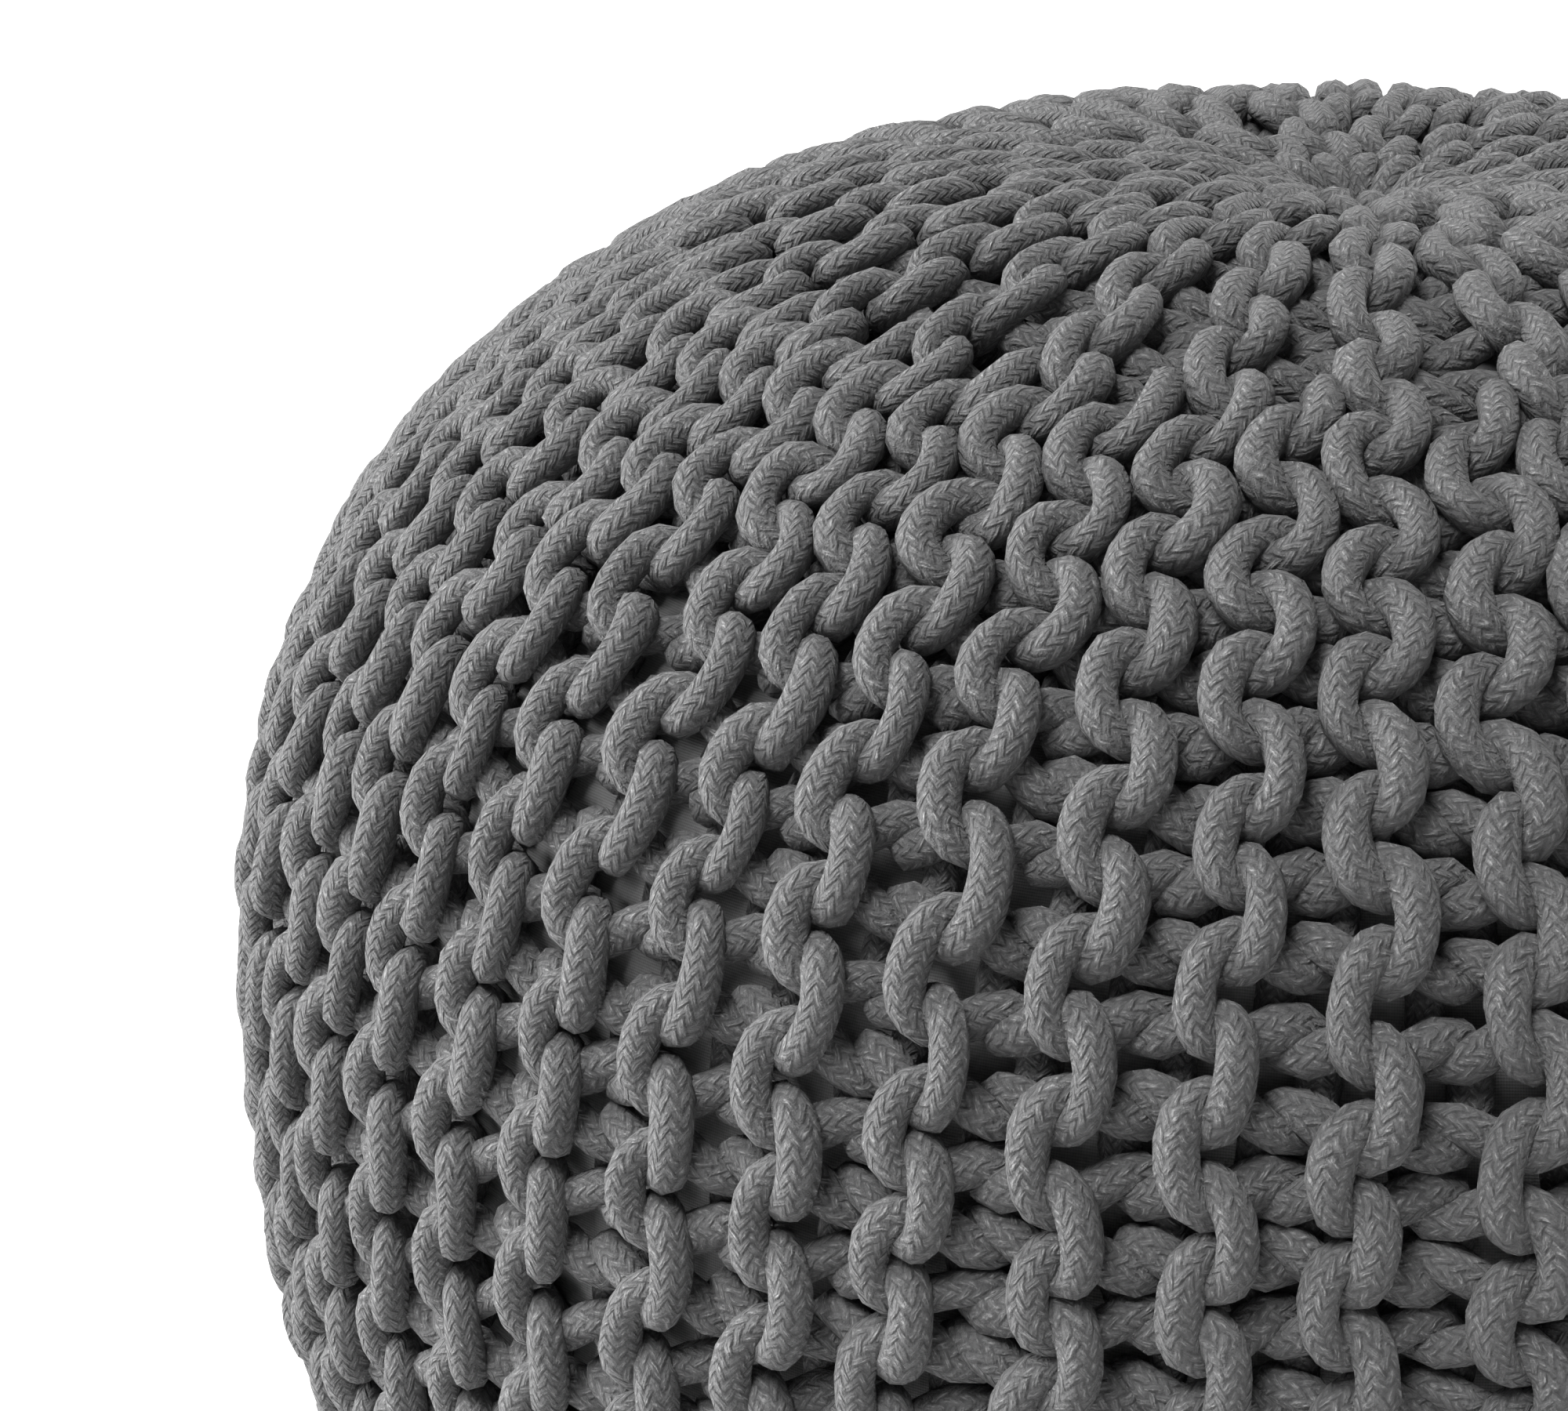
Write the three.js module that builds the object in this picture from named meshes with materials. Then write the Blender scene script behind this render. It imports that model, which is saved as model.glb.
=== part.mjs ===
// A round floor pouf: a hand-knitted cotton-cord cover drawn over a filled casing.
//
// The cover is knitted sideways in garter stitch, so its ridges run up the sides like the lines of
// longitude on a globe and close in on the middle of the top. Every second ridge stops short on the
// shoulder and every second one of the rest stops short again near the centre, which is how the
// flat knitting is shaped into a round. The cover is drawn shut by a gathered ring of loops at the
// top centre. The casing is the plain bag of filling that shows through the knit.
//
// Units are millimetres, +Z is up, and the origin is on the floor under the middle of the pouf.

import * as THREE from 'three';

// ---- Driving dimensions -------------------------------------------------------------------------

const WIDTH = 508; // across the ridges at the widest
const WIDEST_AT = 170; // height of the widest circle above the floor

const CROWN_RISE = 195.6; // from the widest circle to the undimpled top
const CROWN_FULLNESS = 2.35; // 2 is an ellipse, more is a squarer shoulder
const BELLY_DROP = 189.5; // from the widest circle to where the belly would close under the floor
const BELLY_FULLNESS = 2.81;
const DIMPLE_DEPTH = 17.8; // the top sinks this far at its centre
const DIMPLE_RADIUS = 152;

const KNIT_THICKNESS = 19; // from the ridge tops to the casing
const BASE_KNIT_THICKNESS = 14; // the same where the pouf's weight presses the knit flat
const CASING_GAP = 0.3;
const GATHER_RADIUS = 5; // the gathered ring of loops at the top centre
const GATHER_DROP = 0.4; // an inset profile ends this far lower, at the edge of its ring
const INSET_CLEARANCE = 1; // how far an inset profile's points keep from its floor and its ring
const RIM_SLOPE = 1.6; // how far an inset profile's rim runs inward for each unit of drop

const RIDGES = 60; // around the widest circle
const FIRST_RIDGE = THREE.MathUtils.degToRad(2.6); // angle of a ridge that runs to the centre
const RIDGE_RELIEF = 9; // from a ridge top down to the valley beside it
const CENTRE_RELIEF = 4; // the same at the gathered ring
const CALM_RADIUS = 45; // the relief is at its full depth outside this radius on the top
const FOOT_RISE = 26; // the ridges flatten out over this height above the floor

// Each tier of ridges reaches from the side of the pouf to this distance from the top centre,
// measured along the surface.
const TIERS = [
  { stopsAt: 145, share: 1 },
  { stopsAt: 69, share: 2 },
  { stopsAt: 0, share: 4 },
];

const COLUMNS = RIDGES * 2; // one at each ridge top and one in each valley
const CASING_COLUMNS = 40;
const OUTER_ROWS = 21;
const INNER_ROWS = 10;
const CASING_CENTRE_RADIUS = 1;
const FINE_STEPS = 2000; // points worked out before they are spaced evenly

// ---- The pouf's profile -------------------------------------------------------------------------

const RADIUS = WIDTH / 2;

/** Point of the ridge-top profile at angle t: +90 degrees is the top centre, 0 the widest circle. */
function profilePoint(t) {
  const fullness = t >= 0 ? CROWN_FULLNESS : BELLY_FULLNESS;
  const c = Math.max(Math.cos(t), 0) ** (2 / fullness);
  const s = Math.abs(Math.sin(t)) ** (2 / fullness);
  const r = RADIUS * c;
  if (t < 0) return new THREE.Vector2(r, WIDEST_AT - BELLY_DROP * s);
  const dimple = DIMPLE_DEPTH * Math.max(1 - r / DIMPLE_RADIUS, 0) ** 2;
  return new THREE.Vector2(r, WIDEST_AT + CROWN_RISE * s - dimple);
}

/** Angle at which the belly meets the floor. */
function floorAngle() {
  return -Math.asin((WIDEST_AT / BELLY_DROP) ** (BELLY_FULLNESS / 2));
}

/** The profile from the floor's edge to the top, as points a constant distance apart. */
function evenProfile(rows, endRadius) {
  const fine = [];
  const low = floorAngle();
  for (let i = 0; i <= FINE_STEPS; i++) {
    const point = profilePoint(low + (Math.PI / 2 - low) * (i / FINE_STEPS));
    if (point.x >= endRadius) fine.push(point);
  }
  const lengths = [0];
  for (let i = 1; i < fine.length; i++) lengths.push(lengths[i - 1] + fine[i].distanceTo(fine[i - 1]));
  const total = lengths[lengths.length - 1];
  const points = [];
  let k = 0;
  for (let row = 0; row <= rows; row++) {
    const target = (total * row) / rows;
    while (k < fine.length - 2 && lengths[k + 1] < target) k++;
    const f = (target - lengths[k]) / (lengths[k + 1] - lengths[k]);
    points.push(fine[k].clone().lerp(fine[k + 1], Math.min(f, 1)));
  }
  points.forEach((point, row) => {
    point.toTop = total * (1 - row / rows) + endRadius;
  });
  return points;
}

/** Outward normal of the profile at one of its points. */
function profileNormal(points, i) {
  const a = points[Math.max(i - 1, 0)];
  const b = points[Math.min(i + 1, points.length - 1)];
  const tangent = b.clone().sub(a).normalize();
  return new THREE.Vector2(tangent.y, -tangent.x);
}

/** The profile moved inward by a depth, kept above the knit that lies under the base. */
function insetProfile(points, depth, floor, endRadius) {
  const inset = points.map((point, i) => point.clone().addScaledVector(profileNormal(points, i), -depth));
  const raised = inset.filter((point) => point.y > floor + INSET_CLEARANCE);
  const first = raised[0];
  const rim = new THREE.Vector2(first.x - (first.y - floor) * RIM_SLOPE, floor);
  const kept = raised.filter((point) => point.x > endRadius + INSET_CLEARANCE);
  const last = kept[kept.length - 1];
  return [rim, ...kept, new THREE.Vector2(endRadius, last.y - GATHER_DROP)];
}

// ---- Ridges -------------------------------------------------------------------------------------

/** How many columns apart the ridges are at a distance from the top centre. */
function ridgeStep(toTop) {
  const tier = TIERS.find((entry) => toTop >= entry.stopsAt);
  return 2 * tier.share;
}

/** 1 on a ridge top, 0 in the middle of the valley between two ridges. */
function crest(column, toTop) {
  return 0.5 + 0.5 * Math.cos((2 * Math.PI * column) / ridgeStep(toTop));
}

/** Depth of the valleys at a point of the profile: shallow at the gathered ring and at the foot. */
function relief(point) {
  const foot = Math.min(point.y / FOOT_RISE, 1);
  const onTop = point.y > WIDEST_AT;
  const centre = onTop ? Math.min(point.x / CALM_RADIUS, 1) : 1;
  return foot * (CENTRE_RELIEF + (RIDGE_RELIEF - CENTRE_RELIEF) * centre);
}

// ---- Pieces -------------------------------------------------------------------------------------

/** A profile spun about the upright axis, with its seam at the first ridge. */
function spin(points, columns) {
  const geometry = new THREE.LatheGeometry(points, columns, FIRST_RIDGE);
  geometry.rotateX(Math.PI / 2);
  return geometry;
}

/** The knitted cover: a ribbed shell, open only at the gathered ring in the middle of the top. */
function knitCover() {
  const outer = evenProfile(OUTER_ROWS, GATHER_RADIUS);
  const inner = insetProfile(evenProfile(INNER_ROWS, GATHER_RADIUS), KNIT_THICKNESS,
    BASE_KNIT_THICKNESS, GATHER_RADIUS);
  const profile = [
    new THREE.Vector2(0, 0),
    ...outer,
    ...inner.slice().reverse(),
    new THREE.Vector2(0, BASE_KNIT_THICKNESS),
  ];
  const geometry = spin(profile, COLUMNS);
  const position = geometry.attributes.position;
  outer.forEach((point, i) => {
    const normal = profileNormal(outer, i);
    const depth = relief(point);
    for (let column = 0; column <= COLUMNS; column++) {
      const index = column * profile.length + i + 1;
      const angle = FIRST_RIDGE + (2 * Math.PI * (column % COLUMNS)) / COLUMNS;
      const inward = depth * (1 - crest(column, point.toTop));
      const r = point.x - normal.x * inward;
      position.setXYZ(index, r * Math.sin(angle), -r * Math.cos(angle), point.y - normal.y * inward);
    }
  });
  return geometry;
}

/** The filled casing: a plain bag that fills the cover, closed at both centres. */
function innerCasing() {
  const depth = KNIT_THICKNESS + CASING_GAP;
  const floor = BASE_KNIT_THICKNESS + CASING_GAP;
  const side = insetProfile(evenProfile(INNER_ROWS, GATHER_RADIUS), depth, floor, CASING_CENTRE_RADIUS);
  const top = side[side.length - 1];
  return spin([new THREE.Vector2(0, floor), ...side, new THREE.Vector2(0, top.y)], CASING_COLUMNS);
}

const cotton = new THREE.MeshStandardMaterial({ color: 0x67676a, roughness: 0.95, metalness: 0 });
const jersey = new THREE.MeshStandardMaterial({ color: 0x4c4c4e, roughness: 0.9, metalness: 0 });

const pouf = new THREE.Group();

const cover = new THREE.Mesh(knitCover(), cotton);
cover.name = 'knit_cover';
pouf.add(cover);

const casing = new THREE.Mesh(innerCasing(), jersey);
casing.name = 'inner_casing';
pouf.add(casing);

export default pouf;
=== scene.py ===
import math
import bpy
import numpy as np
from mathutils import Matrix, Vector


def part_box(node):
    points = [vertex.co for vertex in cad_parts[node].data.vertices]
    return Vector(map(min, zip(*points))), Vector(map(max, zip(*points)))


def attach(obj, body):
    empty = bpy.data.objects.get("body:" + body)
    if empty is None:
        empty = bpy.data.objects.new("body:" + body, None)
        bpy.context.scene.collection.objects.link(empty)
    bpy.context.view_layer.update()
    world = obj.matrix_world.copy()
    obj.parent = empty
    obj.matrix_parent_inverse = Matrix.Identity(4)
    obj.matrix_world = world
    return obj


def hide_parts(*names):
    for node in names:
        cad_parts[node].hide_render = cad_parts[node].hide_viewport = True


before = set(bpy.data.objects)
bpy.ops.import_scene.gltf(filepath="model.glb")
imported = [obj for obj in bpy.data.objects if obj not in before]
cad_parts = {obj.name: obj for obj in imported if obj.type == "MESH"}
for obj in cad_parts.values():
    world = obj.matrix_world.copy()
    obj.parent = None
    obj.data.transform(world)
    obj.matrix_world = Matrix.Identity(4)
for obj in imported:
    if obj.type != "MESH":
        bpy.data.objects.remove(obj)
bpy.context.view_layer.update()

# ---------------------------------------------------------------------------
# Inner casing. A round bag of machine-knit cotton jersey, filled tight, which
# gives the pouf its full crown, shallow dimple, round belly and flat foot. The
# knitting drawn over it holds it, and it shows in the gaps between the cords.
# ---------------------------------------------------------------------------

cover_low, cover_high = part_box("knit_cover")
WIDEST_RADIUS = (cover_high.x - cover_low.x) / 2
WIDEST_HEIGHT = 0.170
CROWN_RISE = 0.1956
CROWN_FULLNESS = 2.35
BELLY_DROP = 0.1895
BELLY_FULLNESS = 2.81
DIMPLE_DEPTH = 0.0178
DIMPLE_RADIUS = 0.152
FOOT_SOFTNESS = 0.006
OUTLINE_STEPS = 1600
OUTLINE_EASING = 40
SAME_POINT = 1e-9
COVER_THICKNESS = 0.020
CASING_SWELL = 0.0015
CASING_ROUND = 72
CASING_DOWN = 44


def pouf_outline():
    """The outline over the ridges, from the top centre to the base centre.

    Above the widest circle r = R cos(t)^(2/fullness) and z = rise
    sin(t)^(2/fullness), less a dimple that falls off as the square of the
    distance from its rim. Below it the same with the belly's drop and
    fullness, brought softly to zero where it stands. The points are spaced
    evenly, and each is eased towards its neighbours. Returns the distance gone,
    radius, height and the two parts of the outward normal.
    """
    turn = np.linspace(np.pi / 2, 0, OUTLINE_STEPS)
    across = np.cos(turn).clip(0, 1)
    up = np.sin(turn).clip(0, 1)
    crown_r = WIDEST_RADIUS * across ** (2 / CROWN_FULLNESS)
    dimple = DIMPLE_DEPTH * (1 - crown_r / DIMPLE_RADIUS).clip(0, 1) ** 2
    crown_z = WIDEST_HEIGHT + CROWN_RISE * up ** (2 / CROWN_FULLNESS) - dimple
    belly_r = WIDEST_RADIUS * across ** (2 / BELLY_FULLNESS)
    belly_z = WIDEST_HEIGHT - BELLY_DROP * up ** (2 / BELLY_FULLNESS)
    r = np.concatenate([crown_r, belly_r[::-1][1:]])
    z = np.concatenate([crown_z, belly_z[::-1][1:]])
    z = FOOT_SOFTNESS * np.logaddexp(0, z / FOOT_SOFTNESS)
    moved = np.concatenate([[True], np.hypot(np.diff(r), np.diff(z)) > SAME_POINT])
    r, z = r[moved], z[moved]
    gone = np.concatenate([[0], np.cumsum(np.hypot(np.diff(r), np.diff(z)))])
    along = np.linspace(0, gone[-1], OUTLINE_STEPS)
    r = np.interp(along, gone, r)
    z = np.interp(along, gone, z)
    for _ in range(OUTLINE_EASING):
        r[1:-1] = (r[:-2] + 2 * r[1:-1] + r[2:]) / 4
        z[1:-1] = (z[:-2] + 2 * z[1:-1] + z[2:]) / 4
    dr = np.gradient(r, along)
    dz = np.gradient(z, along)
    size = np.hypot(dr, dz)
    return along, r, z, -dz / size, dr / size


OUTLINE = pouf_outline()
OUTLINE_LENGTH = OUTLINE[0][-1]


def on_outline(distance):
    """Radius, height and outward normal at distances from the top centre."""
    return [np.interp(distance, OUTLINE[0], part) for part in OUTLINE[1:]]


def lay(distance, angle, depth):
    """Points at a distance down the outline, an angle round from the front
    and a depth under it: the outline's point less depth times its normal,
    turned round the upright axis by the angle."""
    r, z, normal_r, normal_z = on_outline(distance)
    r = r - depth * normal_r
    z = z - depth * normal_z
    return np.stack([r * np.sin(angle), -r * np.cos(angle), z], axis=-1)


def make_piece(name, points, faces, face_uv, material):
    """A smooth piece at the origin from arrays of points and quads, with a UV
    for each corner of each face. A quad whose last two corners are one point
    is a triangle."""
    sizes = np.where(faces[:, 2] == faces[:, 3], 3, 4)
    used = np.arange(4)[None, :] < sizes[:, None]
    starts = np.concatenate([[0], np.cumsum(sizes)[:-1]])
    mesh = bpy.data.meshes.new(name)
    mesh.vertices.add(len(points))
    mesh.vertices.foreach_set("co", points.astype(np.float32).ravel())
    mesh.loops.add(int(sizes.sum()))
    mesh.loops.foreach_set("vertex_index", faces[used].astype(np.int32))
    mesh.polygons.add(len(faces))
    mesh.polygons.foreach_set("loop_start", starts.astype(np.int32))
    mesh.polygons.foreach_set("loop_total", sizes.astype(np.int32))
    mesh.update(calc_edges=True)
    layer = mesh.uv_layers.new(name="lengthwise")
    layer.data.foreach_set("uv", face_uv[used].astype(np.float32).ravel())
    mesh.shade_smooth()
    mesh.materials.append(material)
    piece = bpy.data.objects.new(name, mesh)
    bpy.context.scene.collection.objects.link(piece)
    return piece


def grid_quads(grid):
    """The four corners of every cell of a grid of numbers or places, in order
    round the cell."""
    corners = grid[:-1, :-1], grid[:-1, 1:], grid[1:, 1:], grid[1:, :-1]
    return np.stack(corners, 2).reshape(-1, 4, *grid.shape[2:])


def casing_surface():
    """The bag: the outline sunk by the cover's thickness and turned round the
    upright axis, closed by one point at each pole. Between the poles it swells
    a little into the knit. Its UV is the distance round the widest circle and
    the distance down, in metres."""
    distance = np.linspace(0, OUTLINE_LENGTH, CASING_DOWN + 1)
    angle = np.arange(CASING_ROUND + 1) * 2 * np.pi / CASING_ROUND
    down, turn = np.meshgrid(distance[1:-1], angle[:-1], indexing="ij")
    rings = lay(down, turn, COVER_THICKNESS - CASING_SWELL).reshape(-1, 3)
    poles = lay(distance[[0, -1]], np.zeros(2), COVER_THICKNESS)
    poles[:, :2] = 0
    points = np.concatenate([rings, poles])
    number = np.arange(len(rings)).reshape(CASING_DOWN - 1, CASING_ROUND)
    top = np.full((1, CASING_ROUND), len(rings))
    number = np.concatenate([top, number, top + 1])
    number = np.pad(number, ((0, 0), (0, 1)), mode="wrap")
    faces = grid_quads(number)[:, ::-1]
    down, turn = np.meshgrid(distance, angle * WIDEST_RADIUS, indexing="ij")
    face_uv = grid_quads(np.stack([turn, down], -1))[:, ::-1]
    at_base = faces[:, 0] == faces[:, 1]
    faces[at_base] = faces[at_base][:, [1, 2, 3, 3]]
    face_uv[at_base] = face_uv[at_base][:, [1, 2, 3, 3]]
    return points, faces, face_uv


def feed(tree, value, socket):
    """Joins a node's output to a socket, or sets the socket to a plain value."""
    if isinstance(value, bpy.types.NodeSocket):
        tree.links.new(value, socket)
    else:
        socket.default_value = value


def calc(tree, operation, *values):
    """A Math node's output; each value is a number or another node's output."""
    node = tree.nodes.new("ShaderNodeMath")
    node.operation = operation
    for value, socket in zip(values, node.inputs):
        feed(tree, value, socket)
    return node.outputs[0]


# The numbers of a Mix node's colour sockets.
FIRST_COLOUR = 6
SECOND_COLOUR = 7
MIXED_COLOUR = 2


def mix_colours(tree, share, first, second):
    """A blend of two colours by a share; each may be a node's output."""
    node = tree.nodes.new("ShaderNodeMix")
    node.data_type = "RGBA"
    feed(tree, share, node.inputs["Factor"])
    feed(tree, first, node.inputs[FIRST_COLOUR])
    feed(tree, second, node.inputs[SECOND_COLOUR])
    return node.outputs[MIXED_COLOUR]


def new_material(name):
    """An empty node material with its Principled BSDF."""
    material = bpy.data.materials.new(name)
    material.use_nodes = True
    return material, material.node_tree, material.node_tree.nodes["Principled BSDF"]


def noise(tree, vector, scale, detail, roughness=0.5):
    """A Noise Texture node over a vector; its Fac and Color are the noise."""
    node = tree.nodes.new("ShaderNodeTexNoise")
    node.inputs["Scale"].default_value = scale
    node.inputs["Detail"].default_value = detail
    node.inputs["Roughness"].default_value = roughness
    tree.links.new(vector, node.inputs["Vector"])
    return node.outputs


def bump_into(tree, shader, height, relief):
    """Feeds a height between 0 and 1 through a Bump node, relief metres deep."""
    node = tree.nodes.new("ShaderNodeBump")
    node.inputs["Distance"].default_value = relief
    tree.links.new(height, node.inputs["Height"])
    tree.links.new(node.outputs["Normal"], shader.inputs["Normal"])


JERSEY_COURSE = 0.00058
JERSEY_WALE = 0.00052
WALE_SHARE = 0.35
# The loops' share of the jersey's colour is painted shade: it darkens the grooves between the knit's
# courses and wales.
LOOP_GROOVE_SHADE = 0.6
LINT_SHADE = 0.5
JERSEY_GREY = (0.28, 0.28, 0.281, 1)
JERSEY_DARK = (0.084, 0.084, 0.0843, 1)
JERSEY_RELIEF = 0.00012

jersey, tree, shader = new_material("casing_jersey")
uv = tree.nodes.new("ShaderNodeUVMap").outputs["UV"]
axes = tree.nodes.new("ShaderNodeSeparateXYZ")
tree.links.new(uv, axes.inputs[0])
wale = calc(tree, "MULTIPLY", axes.outputs[0], np.pi / JERSEY_WALE)
course = calc(tree, "MULTIPLY", axes.outputs[1], np.pi / JERSEY_COURSE)
wale_ridge = calc(tree, "ABSOLUTE", calc(tree, "SINE", wale))
course_ridge = calc(tree, "ABSOLUTE", calc(tree, "SINE", course))
wale_part = calc(tree, "MULTIPLY", wale_ridge, WALE_SHARE)
jersey_loops = calc(tree, "MULTIPLY_ADD", course_ridge, 1 - WALE_SHARE, wale_part)
jersey_lint = noise(tree, uv, scale=900, detail=3)["Fac"]
# The loops paint shade into the grooves between courses and wales; the lint is the jersey's own
# uneven tone.
lint_part = calc(tree, "MULTIPLY", jersey_lint, LINT_SHADE)
jersey_tone_and_groove_shade = calc(tree, "MULTIPLY_ADD", jersey_loops, LOOP_GROOVE_SHADE, lint_part)
jersey_colour = mix_colours(tree, jersey_tone_and_groove_shade, JERSEY_DARK, JERSEY_GREY)
tree.links.new(jersey_colour, shader.inputs["Base Color"])
shader.inputs["Roughness"].default_value = 0.95
shader.inputs["Sheen Weight"].default_value = 0.1
bump_into(tree, shader, jersey_loops, JERSEY_RELIEF)

casing = make_piece("jersey_casing", *casing_surface(), jersey)
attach(casing, "root")
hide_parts("inner_casing")

# ---------------------------------------------------------------------------
# Knitted cover. A braided cotton cord, hand-knitted to and fro in garter stitch
# so that its ridges stand like melon ribs. Short rows leave 30 and then 15 of
# the 60 ridges to be gathered into a pinch in the middle of the top and base.
# ---------------------------------------------------------------------------

CORD_WIDTH = 0.0076
RIDGES = 60
RIDGE_ANGLE = 2 * math.pi / RIDGES
FIRST_RIDGE = math.radians(2.75)
ROW_STITCHES = 28
STITCH_POINTS = 16
CROWN_PITCH = 0.02635
CROWN_STITCHES = 9.5
POLE_MARGIN = 0.0025
belly_length = OUTLINE_LENGTH - 2 * POLE_MARGIN - CROWN_PITCH * CROWN_STITCHES
BELLY_PITCH = belly_length / (ROW_STITCHES - CROWN_STITCHES)

# Where a ridge's rows turn back, in stitches from the pole. The key is the
# remainder of the ridge's number by 4.
TURNS_AT = {0: 0.20, 1: 5.44, 2: 2.44, 3: 5.44}


def stitch_distance(stitch):
    """Distance down the outline of a stitch number: even steps of the crown's
    pitch that ease into the belly's tighter pitch."""
    past = np.logaddexp(0, 2 * (stitch - CROWN_STITCHES)) / 2
    return POLE_MARGIN + CROWN_PITCH * stitch + (BELLY_PITCH - CROWN_PITCH) * past


def back_line_gap(ridge, arc):
    """Angle from a ridge to the sunk line beside it at the stitch numbers of
    its arcs: half a ridge step, and one or two steps nearer the poles, where
    the short rows between have ended."""
    kept = np.minimum(arc, ROW_STITCHES - arc)
    gap = np.full(kept.shape, RIDGE_ANGLE / 2)
    if ridge % 2 == 0:
        gap[kept < TURNS_AT[1]] = RIDGE_ANGLE
    if ridge % 4 == 0:
        gap[kept < TURNS_AT[2]] = 2 * RIDGE_ANGLE
    return gap


def swell(distance, middle, half):
    """A smooth swell from 0 up to 1 and back: a raised cosine."""
    return (1 + np.cos(np.pi * ((distance - middle) / half).clip(-1, 1))) / 2


def spline_weights(f):
    """The weights of a cubic B-spline's four points, times six, at a share f
    of the way from its second point to its third."""
    return (1 - f) ** 3, 3 * f**3 - 6 * f**2 + 4, -3 * f**3 + 3 * f**2 + 3 * f + 1, f**3


draw = np.random.default_rng(seed=4)

# How far each part of a row wanders, as a share for the spread and the reach
# and in metres for the others, and over how many stitches.
WANDERS = {
    "spread": (0.07, 0.5),
    "distance": (0.0003, 0.7),
    "reach": (0.05, 0.8),
    "sideways": (0.0004, 0.7),
    "depth": (0.0003, 0.6),
}
WANDER_GAIN = 1.6


def wander(part, count):
    """One part's wander along a row of points: random values some stitches
    apart, joined by a cubic B-spline and brought to the part's size."""
    size, stitches = WANDERS[part]
    spacing = STITCH_POINTS * stitches
    knots = draw.normal(size=int(count / spacing) + 4)
    place = np.arange(count) / spacing
    first = place.astype(int)
    weights = spline_weights(place - first)
    line = sum(weight * knots[first + i] for i, weight in enumerate(weights)) * WANDER_GAIN / 6
    return size * line


# The drifts' waves: their number, most turns round the pouf, and usual pitch in
# radians for each metre down it.
WAVES = 26
MOST_TURNS = 22
WAVE_PITCH = 54


def surface_waves():
    """A drift over the whole surface: a sum of sine waves of random turn
    number, pitch and phase, of size about 1."""
    turns = draw.integers(-MOST_TURNS, MOST_TURNS + 1, WAVES)
    pitch = draw.normal(size=WAVES) * WAVE_PITCH
    phase = draw.uniform(0, 2 * np.pi, WAVES)

    def drift(distance, angle):
        wave = turns * angle[:, None] + pitch * distance[:, None] + phase
        return np.sin(wave).sum(1) * math.sqrt(2 / WAVES)

    return drift


down_waves = surface_waves()
side_waves = surface_waves()
depth_waves = surface_waves()
width_waves = surface_waves()

PINCH_RADIUS = 0.009
ARC_SPREAD = 0.0044
SPREAD_DRIFT = 0.10
SPREAD_LIMITS = (0.93, 1.3)
RIGHT_ARC_LEAD = -0.02
ARC_REACH = 0.0050
SHOULDER_REACH = 0.0020
SHOULDER = {"middle": 0.170, "half": 0.085}
REACH_DRIFT = 0.10
CROWN_NARROWING = 0.3
NARROW_CROWN = {"middle": 0.09, "half": 0.07}
ROOM_FOR_REACH = 0.008
LEAST_REACH = 0.12
MIDDLE_DEPTH = 0.0093
DEPTH_SWING = 0.0018
DEPTH_DIP = 0.0037
DIP_DELAY = 0.35
DRIFT_STITCHES = (0.5, 2.5)
DRIFT = 0.0014
DEPTH_DRIFT = 0.0005
CROWN_DRIFT = 0.0010
UNEVEN_CROWN = {"middle": 0.11, "half": 0.10}
SAG = 0.022
SAG_ANGLE = math.radians(-60)
SAG_NARROWNESS = 10
SAG_BAND = {"middle": 0.406, "half": 0.216}
DIVE_REACH = 0.013
DIVE_DEPTH = 0.014
DIVE_CURVE = 1.2


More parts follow.
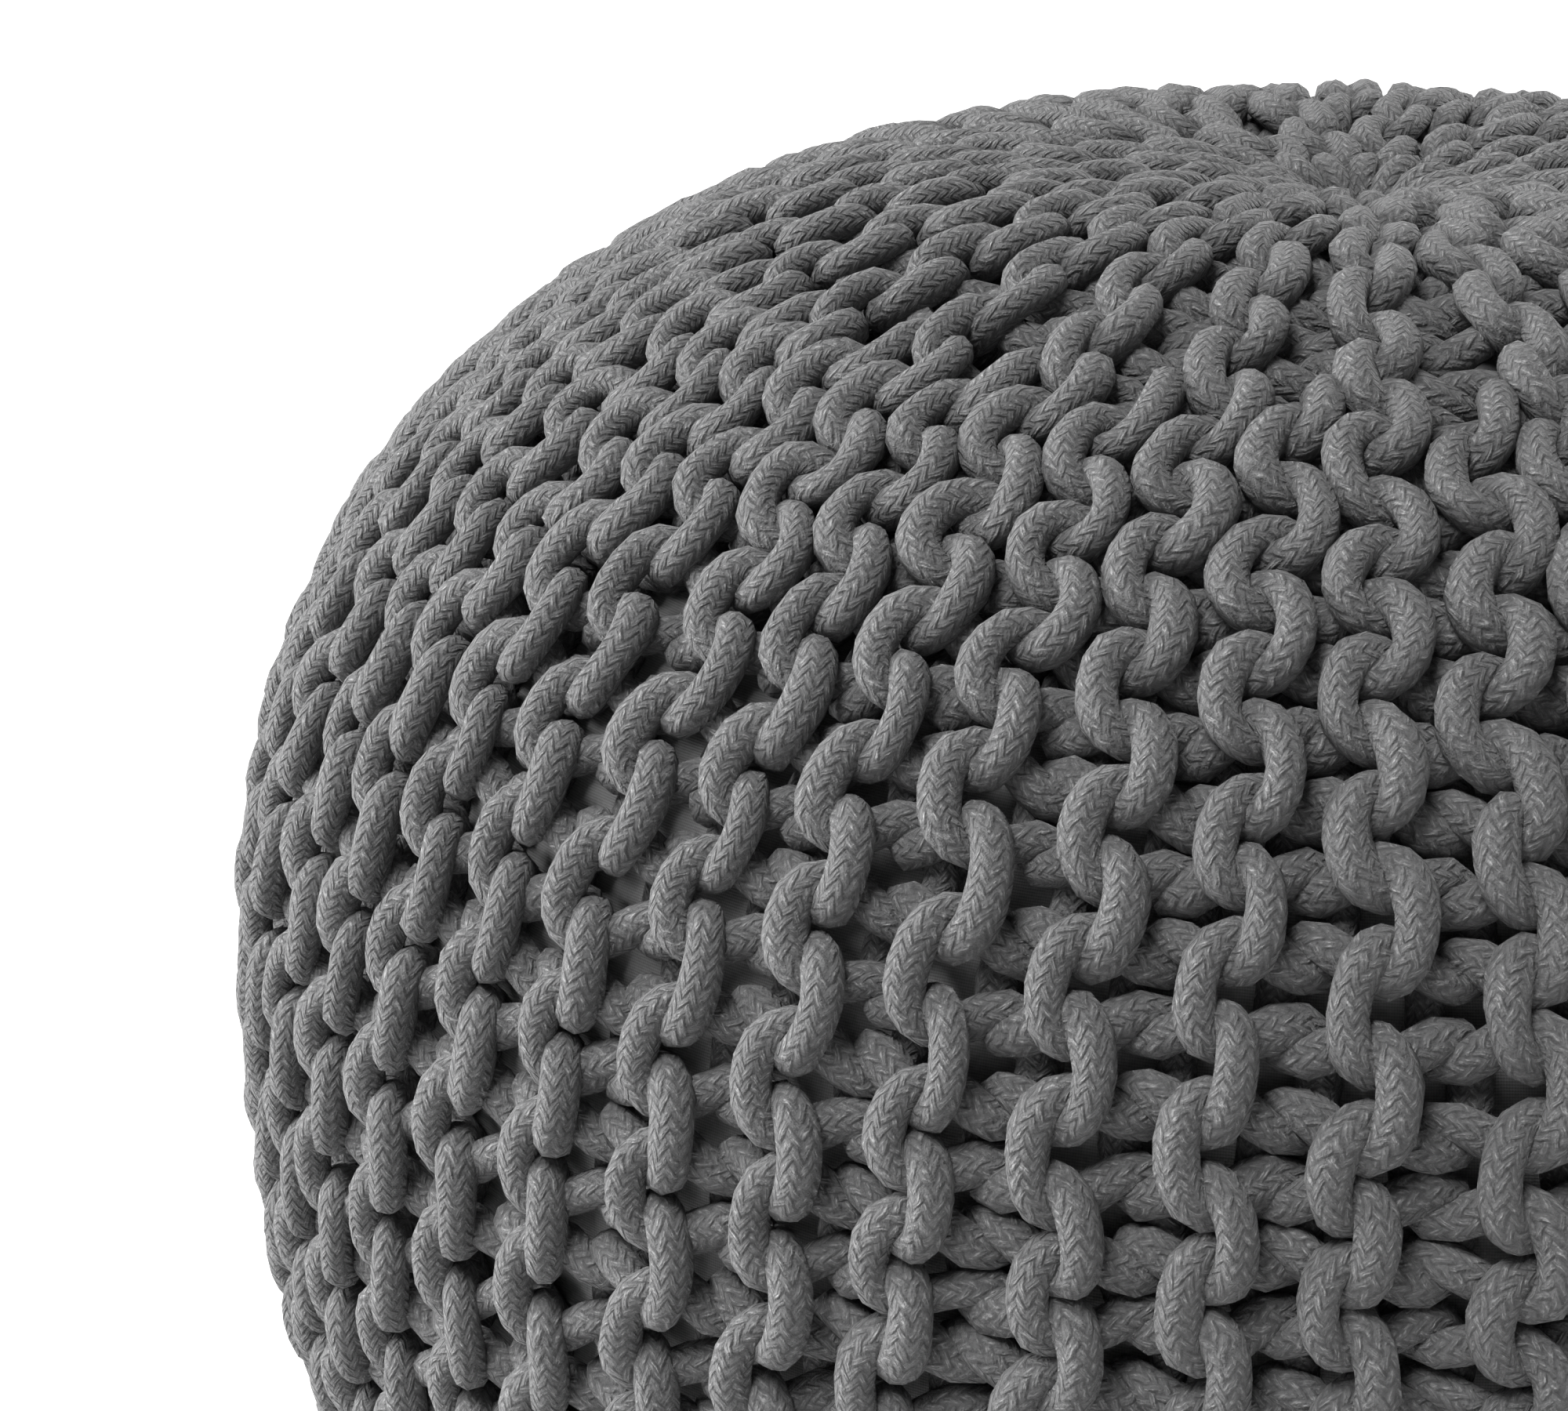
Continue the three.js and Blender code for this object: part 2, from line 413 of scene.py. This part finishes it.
def row_path(ridge, side, stitch):
    """One row's distance, angle and depth at stitch numbers.

    The row swings between its ridge and the sunk line on one side (-1 left,
    1 right), as the cosine of the stitch number, while a second harmonic
    spreads each arc along the ridge. Its depth is a middle depth less a cosine
    and its third harmonic: it runs high on the ridge, dips under the other
    row's arcs, comes up over the next and ends low. Wanders, and drifts that
    fade out at the row's ends, make the stitches uneven. The cover sags on one
    side, and the rows dive into the pinch at the poles.
    """
    count = len(stitch)
    turn = 2 * np.pi * stitch
    sunk = (1 - side * np.cos(turn)) / 2
    arc = np.floor(stitch) + 0.5 if side > 0 else np.round(stitch)
    gap = back_line_gap(ridge, arc)
    middle = stitch_distance(stitch)
    meridian = np.full(count, FIRST_RIDGE + ridge * RIDGE_ANGLE)
    r, _, normal_r, _ = on_outline(middle)
    r = np.maximum(r - normal_r * COVER_THICKNESS / 2, PINCH_RADIUS)
    spread = 1 + wander("spread", count) + SPREAD_DRIFT * width_waves(middle, meridian)
    spread = ARC_SPREAD * spread.clip(*SPREAD_LIMITS)
    lead = RIGHT_ARC_LEAD * (1 - sunk) if side < 0 else 0
    distance = stitch_distance(stitch - lead) + spread * np.sin(2 * turn)
    distance += wander("distance", count)
    reach = ARC_REACH + SHOULDER_REACH * swell(middle, **SHOULDER)
    reach *= 1 + wander("reach", count) + REACH_DRIFT * depth_waves(middle, meridian)
    narrowing = 1 - CROWN_NARROWING * swell(middle, **NARROW_CROWN)
    room = (gap * r / ROOM_FOR_REACH).clip(LEAST_REACH, 1)
    reach *= narrowing * room
    angle = meridian + side * (gap * sunk + reach * (2 * sunk - 1) / r)
    late = turn - DIP_DELAY * np.sin(2 * turn)
    rise = side * (DEPTH_SWING * np.cos(late) + DEPTH_DIP * np.cos(3 * late))
    still, drifting = DRIFT_STITCHES
    from_end = np.minimum(stitch, ROW_STITCHES - stitch)
    share = ((from_end - still) / (drifting - still)).clip(0, 1)
    sideways = wander("sideways", count)
    sideways += DRIFT * side_waves(distance, angle)
    depth = MIDDLE_DEPTH - rise
    depth += wander("depth", count)
    uneven = DEPTH_DRIFT + CROWN_DRIFT * swell(middle, **UNEVEN_CROWN)
    depth += uneven * depth_waves(distance, angle)
    moved = distance + share * DRIFT * down_waves(distance, angle)
    sag = ((1 + np.cos(angle - SAG_ANGLE)) / 2) ** SAG_NARROWNESS
    moved += SAG * sag * swell(distance, **SAG_BAND)
    angle = angle + share * sideways / r
    dive = (1 - np.minimum(moved, OUTLINE_LENGTH - moved) / DIVE_REACH).clip(0, 1)
    return np.stack([moved, angle, depth + DIVE_DEPTH * dive**DIVE_CURVE])


TURN_POINTS = 5
TURN_BULGE = 0.9
TURN_LIFT = 0.002


def turn_back(leaving, joining, way):
    """The points of the small loop where a row turns back: a straight blend
    of the two ends, bulged along the outline and lifted by a half sine."""
    share = np.linspace(0, 1, TURN_POINTS + 2)[1:-1]
    bulge = np.sin(np.pi * share)
    lift = np.array([TURN_BULGE * CORD_WIDTH * way, 0, -TURN_LIFT])[:, None] * bulge
    return leaving[:, None] * (1 - share) + joining[:, None] * share + lift


def cord_loops():
    """Every ridge's two rows joined into one loop by a turn at each end."""
    loops = []
    for ridge in range(RIDGES):
        first = TURNS_AT[ridge % 4]
        last = ROW_STITCHES - first
        stitch = np.linspace(first, last, int(round((last - first) * STITCH_POINTS)) + 1)
        left = row_path(ridge, -1, stitch)
        right = row_path(ridge, 1, stitch)
        at_base = turn_back(left[:, -1], right[:, -1], 1)
        at_top = turn_back(right[:, 0], left[:, 0], -1)
        loops.append(np.concatenate([left, at_base, right[:, ::-1], at_top], axis=1))
    return loops


NEIGHBOURS = 4


def close_pairs(points, reach, loop, place, length):
    """All pairs of points within reach that aren't neighbours on one loop.

    The points are sorted into cubes one reach wide, and each cube is matched
    with itself and with the 13 cubes on one side of it.
    """
    cube = np.floor((points - points.min(0)) / reach).astype(np.int64) + 1
    across, up = cube[:, 1].max() + 2, cube[:, 2].max() + 2
    key = (cube[:, 0] * across + cube[:, 1]) * up + cube[:, 2]
    order = np.argsort(key, kind="stable")
    in_order = key[order]
    steps = [(x, y, z) for z in (0, 1) for y in (-1, 0, 1) for x in (-1, 0, 1)]
    steps = [(x, y, z) for x, y, z in steps if z or y > 0 or (y == 0 and x >= 0)]
    found = []
    for x, y, z in steps:
        wanted = key + (x * across + y) * up + z
        low = np.searchsorted(in_order, wanted, "left")
        count = np.searchsorted(in_order, wanted, "right") - low
        one = np.repeat(np.arange(len(points)), count)
        skip = np.arange(count.sum()) - np.repeat(np.cumsum(count) - count, count)
        two = order[np.repeat(low, count) + skip]
        near = ((points[one] - points[two]) ** 2).sum(1) < reach**2
        if (x, y, z) == (0, 0, 0):
            near &= one < two
        one, two = one[near], two[near]
        apart = np.abs(place[one] - place[two])
        apart = np.minimum(apart, length[loop[one]] - apart)
        kept = (loop[one] != loop[two]) | (apart > NEIGHBOURS)
        found.append(np.stack([one, two])[:, kept])
    return np.concatenate(found, axis=1)


SETTLE_ROUNDS = 10
SETTLE_STEPS = 16
PAIR_REACH = 1.3 * CORD_WIDTH
LOOSENESS = 0.96
SQUEEZE = 0.86
PINCH_SQUEEZE = 0.45
PINCH_EDGE = 0.006
PINCH_EASE = 0.034
PINCH_SINK = 0.024
SLIDES_FROM = 0.03
LENGTH_PULL = 0.35
PLACE_PULL = 0.01
BEND_PULL = 1 / 64
TOUCH_PUSH = 0.25
CASING_PUSH = 0.5
OUTLINE_PUSH = 0.3


def settle(loops):
    """Lets the knitting find its shape, as soft rods of one width.

    Each step keeps every short length of cord near its own length, evens the
    bends by the fourth difference, pushes apart cords that overlap, draws the
    points weakly to where they began, and holds them between the casing and
    the outline, which they slide along. Near the poles they don't slide, but
    squeeze closer and may sink into the pinch. Returns the points, their depths
    and where each loop ends.
    """
    distance, angle, depth = np.concatenate(loops, axis=1)
    length = np.array([loop.shape[1] for loop in loops])
    loop = np.repeat(np.arange(len(loops)), length)
    place = np.concatenate([np.arange(n) for n in length])
    first = np.repeat(np.cumsum(length) - length, length)
    after = first + (place + 1) % length[loop]
    before = first + (place - 1) % length[loop]
    points = lay(distance, angle, depth)
    began = points.copy()
    rest = LOOSENESS * np.linalg.norm(points[after] - points, axis=1)
    from_pole = np.minimum(distance, OUTLINE_LENGTH - distance)
    firmness = PINCH_SQUEEZE + (1 - PINCH_SQUEEZE) * (from_pole - PINCH_EDGE) / PINCH_EASE
    grip = SQUEEZE * firmness.clip(PINCH_SQUEEZE, 1)
    sink = PINCH_SINK * (1 - from_pole / PINCH_SINK).clip(0, 1)
    free = from_pole > SLIDES_FROM
    for _ in range(SETTLE_ROUNDS):
        one, two = close_pairs(points, PAIR_REACH, loop, place, length)
        room = CORD_WIDTH * np.minimum(grip[one], grip[two])
        for _ in range(SETTLE_STEPS):
            step = points[after] - points
            size = np.linalg.norm(step, axis=1)
            pull = (LENGTH_PULL * (1 - rest / size))[:, None] * step
            bend = points[after] + points[before] - 2 * points
            move = pull - pull[before] + PLACE_PULL * (began - points)
            move -= (bend[after] + bend[before] - 2 * bend) * BEND_PULL
            between = points[one] - points[two]
            gap = np.linalg.norm(between, axis=1)
            hit = gap < room
            push = (TOUCH_PUSH * (room[hit] / gap[hit] - 1))[:, None] * between[hit]
            for axis in range(3):
                move[:, axis] += np.bincount(one[hit], push[:, axis], len(points))
                move[:, axis] -= np.bincount(two[hit], push[:, axis], len(points))
            points = points + move
            out = np.hypot(points[:, 0], points[:, 1])
            r, z, normal_r, normal_z = on_outline(distance)
            slid = (out - r) * normal_z - (points[:, 2] - z) * normal_r
            distance = (distance + free * slid).clip(0, OUTLINE_LENGTH)
            r, z, normal_r, normal_z = on_outline(distance)
            height = (out - r) * normal_r + (points[:, 2] - z) * normal_z
            too_low = CORD_WIDTH / 2 - COVER_THICKNESS - sink - height
            too_high = height + CORD_WIDTH / 2
            shift = CASING_PUSH * too_low.clip(0, None) - OUTLINE_PUSH * too_high.clip(0, None)
            outward = [normal_r * points[:, 0] / out, normal_r * points[:, 1] / out]
            points += shift[:, None] * np.stack([*outward, normal_z], axis=1)
    return points, -height, np.cumsum(length)[:-1]


RINGS_PER_STITCH = 19

# How closely the rings stand, beside what the bend of the cord asks for.
STRAIGHT_NEED = 0.12
NEED_AT_TOP = 2.2
NEED_FADE = 2.4
DEEP_NEED = 0.5
BASE_HEIGHT = 0.014
BASE_NEED = 0.4
NEED_EASING = 2
LEAST_NEED = 0.45


def cord_rings(points, depth, count):
    """The cord's centre line: a closed cubic B-spline guided by the settled
    points. Its rings are shared out by need, which is the bend plus a little
    for straight cord, less where it lies deep or under the base."""
    bend = np.roll(points, 1, 0) + np.roll(points, -1, 0) - 2 * points
    step = np.linalg.norm(np.roll(points, -1, 0) - points, axis=1).mean()
    need = STRAIGHT_NEED + np.linalg.norm(bend, axis=1) / step
    need *= (NEED_AT_TOP - NEED_FADE * depth / COVER_THICKNESS).clip(DEEP_NEED, 1)
    need *= np.where(points[:, 2] < BASE_HEIGHT, BASE_NEED, 1)
    for _ in range(NEED_EASING):
        need = (np.roll(need, 1) + 2 * need + np.roll(need, -1)) / 4
    need = np.maximum(need, LEAST_NEED * need.mean())
    gone = np.concatenate([[0], np.cumsum(need)])
    place = np.interp(np.arange(count) * gone[-1] / count, gone, np.arange(len(gone)))
    first = place.astype(int)
    weights = spline_weights((place - first)[:, None])
    around = [points[(first + i - 1) % len(points)] for i in range(4)]
    return sum(weight * point for weight, point in zip(weights, around)) / 6


CORD_SIDES = 10
CORD_LUMPS = 0.08
LUMP_LIMIT = 2
ALONG_CORD = 0
ROUND_CORD = 1
STEEP = 0.8
BRAID_LAY = 0.0023


def cord_surface(centre):
    """A closed round tube along a closed line of ring centres.

    Each ring's first direction is the one before it carried on without
    twisting: the angle that carrying makes against a fixed reference is added
    up round the loop, and what is left over is spread evenly. The radius has
    random lumps, evened twice along the cord and once round it. The UV is the
    length along the cord in braid lays and the share of the way round.
    """
    count = len(centre)
    ahead = np.roll(centre, -1, 0) - np.roll(centre, 1, 0)
    ahead /= np.linalg.norm(ahead, axis=1, keepdims=True)
    steep = np.abs(ahead[:, 2:]) > STEEP
    side = np.cross(ahead, np.where(steep, [[1.0, 0, 0]], [[0, 0, 1.0]]))
    side /= np.linalg.norm(side, axis=1, keepdims=True)
    other = np.cross(ahead, side)
    arrows = ahead, side, other
    next_ahead, next_side, next_other = (np.roll(arrow, -1, 0) for arrow in arrows)
    axis = np.cross(ahead, next_ahead)
    cosine = (ahead * next_ahead).sum(1, keepdims=True)
    carried = side * cosine + np.cross(axis, side)
    carried += axis * (axis * side).sum(1, keepdims=True) / (1 + cosine)
    twist = np.arctan2((carried * next_other).sum(1), (carried * next_side).sum(1))
    total = np.concatenate([[0], np.cumsum(twist)])
    left_over = (total[-1] + np.pi) % (2 * np.pi) - np.pi
    total = total[:-1] - left_over * np.arange(count) / count
    angle = total[:, None] + np.arange(CORD_SIDES) * 2 * np.pi / CORD_SIDES
    out = np.cos(angle)[..., None] * side[:, None] + np.sin(angle)[..., None] * other[:, None]
    lumps = draw.normal(size=(count, CORD_SIDES))
    for way in (ALONG_CORD, ALONG_CORD, ROUND_CORD):
        lumps = (np.roll(lumps, 1, way) + lumps + np.roll(lumps, -1, way)) / math.sqrt(3)
    lumps = lumps[..., None].clip(-LUMP_LIMIT, LUMP_LIMIT)
    radius = CORD_WIDTH / 2 * (1 + CORD_LUMPS * lumps)
    points = (centre[:, None] + radius * out).reshape(-1, 3)
    gone = np.cumsum(np.linalg.norm(np.roll(centre, -1, 0) - centre, axis=1))
    gone = np.concatenate([[0], gone]) * round(gone[-1] / BRAID_LAY) / gone[-1]
    number = np.arange(count * CORD_SIDES).reshape(count, CORD_SIDES)
    number = np.pad(number, ((0, 1), (0, 1)), mode="wrap")
    round_share = np.arange(CORD_SIDES + 1) / CORD_SIDES
    place = np.stack(np.meshgrid(gone, round_share, indexing="ij"), -1)
    return points, grid_quads(number), grid_quads(place)


STRAND_FULLNESS = 1.4
FLOAT_ARCH = 0.6
YARN_DEPTH = 0.35
STREAKS_ACROSS = 4
STREAKS_ALONG = 1.1
# Fleck highlights: lighter fibre, kept to where the strand stands high, as painted highlight glints
# on the crests.
SETS_APART = 5
FLECK_HIGHLIGHTS_FROM = 0.52
FLECK_HIGHLIGHT_EDGE = 6


def braid_group():
    """The braid's height, streaks and fleck highlights from a place on the cord,
    which is the length in braid lays and the share of the way round.

    Two sets of strands run round the cord in opposite screws, and the sum of
    their numbers says which lies on top, two over and two under. A strand's
    height is the sine across it to a power, arched by the sine along its
    float, with yarns laid in it as a cosine across. The streaks and fleck
    highlights are noise drawn out along the strand on top; the fleck highlights
    are scaled by the height, so they are painted highlight glints on the crests.
    """
    group = bpy.data.node_groups.new("cotton_braid", "ShaderNodeTree")
    add = group.interface.new_socket
    add("Place", in_out="INPUT", socket_type="NodeSocketVector")
    add("Strands", in_out="INPUT", socket_type="NodeSocketFloat")
    add("Yarns", in_out="INPUT", socket_type="NodeSocketFloat")
    add("Height", in_out="OUTPUT", socket_type="NodeSocketFloat")
    add("Streaks", in_out="OUTPUT", socket_type="NodeSocketFloat")
    add("Fleck Highlights", in_out="OUTPUT", socket_type="NodeSocketFloat")
    entry = group.nodes.new("NodeGroupInput").outputs
    axes = group.nodes.new("ShaderNodeSeparateXYZ")
    group.links.new(entry["Place"], axes.inputs[0])

    def work(operation, *values):
        return calc(group, operation, *values)

    def strand_height(across, float_place):
        share = work("FRACT", across)
        along = work("MULTIPLY", work("FLOORED_MODULO", float_place, 4), np.pi / 2)
        crown = work("POWER", work("SINE", work("MULTIPLY", share, np.pi)), STRAND_FULLNESS)
        arch = work("MAXIMUM", work("SINE", along), 0)
        body = work("MULTIPLY", crown, work("MULTIPLY_ADD", arch, FLOAT_ARCH, 1 - FLOAT_ARCH))
        yarn = work("COSINE", work("MULTIPLY", work("MULTIPLY", share, entry["Yarns"]), 2 * np.pi))
        yarn = work("MULTIPLY_ADD", yarn, -0.5, 0.5)
        return work("MULTIPLY", body, work("MULTIPLY_ADD", yarn, YARN_DEPTH, 1 - YARN_DEPTH))

    around = work("MULTIPLY", axes.outputs[1], entry["Strands"])
    right = work("ADD", around, axes.outputs[0])
    left = work("SUBTRACT", around, axes.outputs[0])
    right_number = work("FLOOR", right)
    left_number = work("FLOOR", left)
    total = work("ADD", right_number, left_number)
    over = work("LESS_THAN", work("FLOORED_MODULO", total, 4), 2)
    under = work("SUBTRACT", 1, over)

    def top_one(right_value, left_value):
        return work("ADD", work("MULTIPLY", right_value, over), work("MULTIPLY", left_value, under))

    right_height = strand_height(right, work("ADD", left, right_number))
    left_height = strand_height(left, work("ADD", right, work("ADD", left_number, 2)))
    height = top_one(right_height, left_height)
    streak_place = group.nodes.new("ShaderNodeCombineXYZ")
    group.links.new(work("MULTIPLY", top_one(right, left), STREAKS_ACROSS), streak_place.inputs[0])
    group.links.new(work("MULTIPLY", top_one(left, right), STREAKS_ALONG), streak_place.inputs[1])
    group.links.new(work("MULTIPLY", over, SETS_APART), streak_place.inputs[2])
    streaks = noise(group, streak_place.outputs[0], scale=1.0, detail=3)["Fac"]
    fleck_highlights = noise(group, streak_place.outputs[0], scale=1.3, detail=2)["Fac"]
    # Scaled by the height, so the fleck highlights light only the strand crests: painted highlight
    # glints.
    fleck_highlights = work("MULTIPLY", work("SUBTRACT", fleck_highlights, FLECK_HIGHLIGHTS_FROM), FLECK_HIGHLIGHT_EDGE)
    fleck_highlights = work("MINIMUM", work("MAXIMUM", work("MULTIPLY", fleck_highlights, height), 0), 1)
    leave = group.nodes.new("NodeGroupOutput").inputs
    group.links.new(height, leave["Height"])
    group.links.new(streaks, leave["Streaks"])
    group.links.new(fleck_highlights, leave["Fleck Highlights"])
    return group


BRAID_STRANDS = 12
STRAND_YARNS = 2

# How far a noise strains the braid: in lays along the cord, and as a share of
# the way round.
BRAID_STRAIN = (0.7, 0.055, 0)
BRAID_RELIEF = 0.0006
STREAK_RELIEF = 0.3
LINT_RELIEF = 0.6

# How much each part of the braid lightens the cord, from its dark towards its
# grey, and its fleck highlights towards its light. The height part is painted
# shade, darkening the grooves between the strands and yarns; the fleck
# highlights are lighter fibre made brightest on the crests as painted highlight
# glints. The streaks, tufts and patches are the cotton's own uneven tone.
HEIGHT_GROOVE_SHADE = 0.6
STREAK_SHADE = 0.8
TUFT_SHADE = 1.5
PATCH_SHADE = 0.25
MEAN_SHADE = -0.56
FLECK_HIGHLIGHT_SHARE = 0.85
CORD_DARK = (0.016, 0.016, 0.017, 1)
CORD_GREY = (0.089, 0.089, 0.09, 1)
CORD_FLECK_HIGHLIGHT = (0.3, 0.3, 0.3, 1)

cotton, tree, shader = new_material("cotton_cord")
braid = tree.nodes.new("ShaderNodeGroup")
braid.node_tree = braid_group()
where = tree.nodes.new("ShaderNodeTexCoord").outputs["Object"]
uv = tree.nodes.new("ShaderNodeUVMap").outputs["UV"]
strained = tree.nodes.new("ShaderNodeVectorMath")
strained.operation = "MULTIPLY_ADD"
tree.links.new(noise(tree, where, scale=260, detail=1)["Color"], strained.inputs[0])
strained.inputs[1].default_value = BRAID_STRAIN
tree.links.new(uv, strained.inputs[2])
tree.links.new(strained.outputs[0], braid.inputs["Place"])
braid.inputs["Strands"].default_value = BRAID_STRANDS
braid.inputs["Yarns"].default_value = STRAND_YARNS
patches = noise(tree, where, scale=38, detail=2)["Fac"]
lint = noise(tree, where, scale=2400, detail=2, roughness=0.6)["Fac"]
tufts = noise(tree, where, scale=800, detail=3, roughness=0.6)["Fac"]
# The braid's height paints shade into the grooves between the strands and yarns; tufts, streaks and
# patches below are the cotton's own uneven tone.
cord_tone_and_groove_shade = calc(tree, "MULTIPLY_ADD", braid.outputs["Height"], HEIGHT_GROOVE_SHADE, MEAN_SHADE)
cord_tone_and_groove_shade = calc(tree, "MULTIPLY_ADD", tufts, TUFT_SHADE, cord_tone_and_groove_shade)
cord_tone_and_groove_shade = calc(tree, "MULTIPLY_ADD", braid.outputs["Streaks"], STREAK_SHADE, cord_tone_and_groove_shade)
patch_part = calc(tree, "MULTIPLY", calc(tree, "SUBTRACT", patches, 0.5), PATCH_SHADE)
cord_tone_and_groove_shade = calc(tree, "ADD", cord_tone_and_groove_shade, patch_part)
body_colour = mix_colours(tree, cord_tone_and_groove_shade, CORD_DARK, CORD_GREY)
# Fleck highlights: lighter fibre, painted brightest on the strand crests as painted highlight
# glints.
fleck_highlight_share = calc(tree, "MULTIPLY", braid.outputs["Fleck Highlights"], FLECK_HIGHLIGHT_SHARE)
cord_colour = mix_colours(tree, fleck_highlight_share, body_colour, CORD_FLECK_HIGHLIGHT)
tree.links.new(cord_colour, shader.inputs["Base Color"])
shader.inputs["Roughness"].default_value = 0.85
shader.inputs["Sheen Weight"].default_value = 0.12
shader.inputs["Sheen Roughness"].default_value = 0.5
shader.inputs["Specular IOR Level"].default_value = 0.3
relief = calc(tree, "MULTIPLY_ADD", braid.outputs["Streaks"], STREAK_RELIEF, braid.outputs["Height"])
relief = calc(tree, "MULTIPLY_ADD", lint, LINT_RELIEF, relief)
relief = calc(tree, "ADD", relief, tufts)
bump_into(tree, shader, relief, BRAID_RELIEF)

KNIT_PIECES = 6
settled, settled_depth, cuts = settle(cord_loops())
tubes = []
for line, depth in zip(np.split(settled, cuts), np.split(settled_depth, cuts)):
    rings = round(len(line) * RINGS_PER_STITCH / STITCH_POINTS)
    tubes.append(cord_surface(cord_rings(line, depth, rings)))
for part in range(KNIT_PIECES):
    group = tubes[part * RIDGES // KNIT_PIECES:(part + 1) * RIDGES // KNIT_PIECES]
    starts = np.cumsum([0] + [len(points) for points, _, _ in group])
    points = np.concatenate([points for points, _, _ in group])
    faces = np.concatenate([faces + start for (_, faces, _), start in zip(group, starts)])
    face_uv = np.concatenate([face_uv for _, _, face_uv in group])
    piece = make_piece(f"knit_cords_{part + 1}", points, faces, face_uv, cotton)
    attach(piece, "root")
    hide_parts("knit_cover")

# ---------------------------------------------------------------------------
# Floor, lights and camera. A pale floor in a white room that darkens overhead,
# a broad high lamp, a soft lamp on the left and one behind, and a camera close
# to the pouf that looks down on it.
# ---------------------------------------------------------------------------

FLOOR_REACH = 25.0

floor_mesh = bpy.data.meshes.new("floor")
signs = ((-1, -1), (1, -1), (1, 1), (-1, 1))
corners = [(x * FLOOR_REACH, y * FLOOR_REACH, 0) for x, y in signs]
floor_mesh.from_pydata(corners, [], [(0, 1, 2, 3)])
floor = bpy.data.objects.new("floor", floor_mesh)
bpy.context.scene.collection.objects.link(floor)
paint, tree, shader = new_material("floor_paint")
shader.inputs["Base Color"].default_value = (0.70, 0.70, 0.70, 1)
shader.inputs["Roughness"].default_value = 0.8
floor_mesh.materials.append(paint)

# The room's glow falls off between these two heights over the horizon, on a
# sphere of radius 1.
WALL_TOP = 0.2
CEILING_EDGE = 0.35
WALL_GLOW = 1.0
CEILING_GLOW = 0.12

studio = bpy.data.worlds.new("studio")
bpy.context.scene.world = studio
studio.use_nodes = True
tree = studio.node_tree
glow = tree.nodes["Background"]
glow.inputs["Color"].default_value = (1, 1, 1, 1)
axes = tree.nodes.new("ShaderNodeSeparateXYZ")
tree.links.new(tree.nodes.new("ShaderNodeTexCoord").outputs["Generated"], axes.inputs[0])
fade = tree.nodes.new("ShaderNodeMapRange")
fade.inputs["From Min"].default_value = WALL_TOP
fade.inputs["From Max"].default_value = CEILING_EDGE
fade.inputs["To Min"].default_value = WALL_GLOW
fade.inputs["To Max"].default_value = CEILING_GLOW
tree.links.new(axes.outputs["Z"], fade.inputs["Value"])
tree.links.new(fade.outputs["Result"], glow.inputs["Strength"])
bpy.context.scene.view_settings.view_transform = "Standard"


def add_lamp(name, kind, energy, place, aim):
    """A lamp at a place, turned to aim at a point; returns its settings."""
    data = bpy.data.lights.new(name, kind)
    data.energy = energy
    lamp = bpy.data.objects.new(name, data)
    beam = Vector(aim) - Vector(place)
    turned = beam.to_track_quat("-Z", "Y").to_matrix().to_4x4()
    lamp.matrix_world = Matrix.Translation(place) @ turned
    bpy.context.scene.collection.objects.link(lamp)
    return data


left_lamp = add_lamp("left_lamp", "AREA", energy=145, place=(-2.6, -0.1, 0.9), aim=(0, 0, 0.2))
left_lamp.size = 1.2
back_lamp = add_lamp("back_lamp", "AREA", energy=110, place=(1.9, 2.1, 0.9), aim=(0, 0, 0.2))
back_lamp.size = 1.6
high_lamp = add_lamp("high_lamp", "SUN", energy=4.4, place=(-0.35, -0.35, 1), aim=(0, 0, 0))
high_lamp.angle = math.radians(30)

# The camera stands back from the middle of the widest circle and looks down on
# it. It is then turned to the left, tilted up and rolled.
EYE_DISTANCE = 0.762
EYE_LIFT = math.radians(25.01)
AIM_TURN = math.radians(9.81)
AIM_TILT = math.radians(3.34)
AIM_ROLL = math.radians(4.07)
LENS = 71.97

right = Vector((1, 0, 0))
ahead = Vector((0, math.cos(EYE_LIFT), -math.sin(EYE_LIFT)))
up = Vector((0, math.sin(EYE_LIFT), math.cos(EYE_LIFT)))
turned = ahead * math.cos(AIM_TURN) - right * math.sin(AIM_TURN)
right = right * math.cos(AIM_TURN) + ahead * math.sin(AIM_TURN)
gaze = turned * math.cos(AIM_TILT) + up * math.sin(AIM_TILT)
up = up * math.cos(AIM_TILT) - turned * math.sin(AIM_TILT)
camera_right = right * math.cos(AIM_ROLL) + up * math.sin(AIM_ROLL)
camera_up = up * math.cos(AIM_ROLL) - right * math.sin(AIM_ROLL)
camera_data = bpy.data.cameras.new("camera")
camera_data.lens = LENS
camera_data.sensor_width = 36
camera = bpy.data.objects.new("camera", camera_data)
camera.matrix_world = Matrix((camera_right, camera_up, -gaze)).transposed().to_4x4()
camera.matrix_world.translation = Vector((0, 0, WIDEST_HEIGHT)) - ahead * EYE_DISTANCE
bpy.context.scene.collection.objects.link(camera)
bpy.context.scene.camera = camera
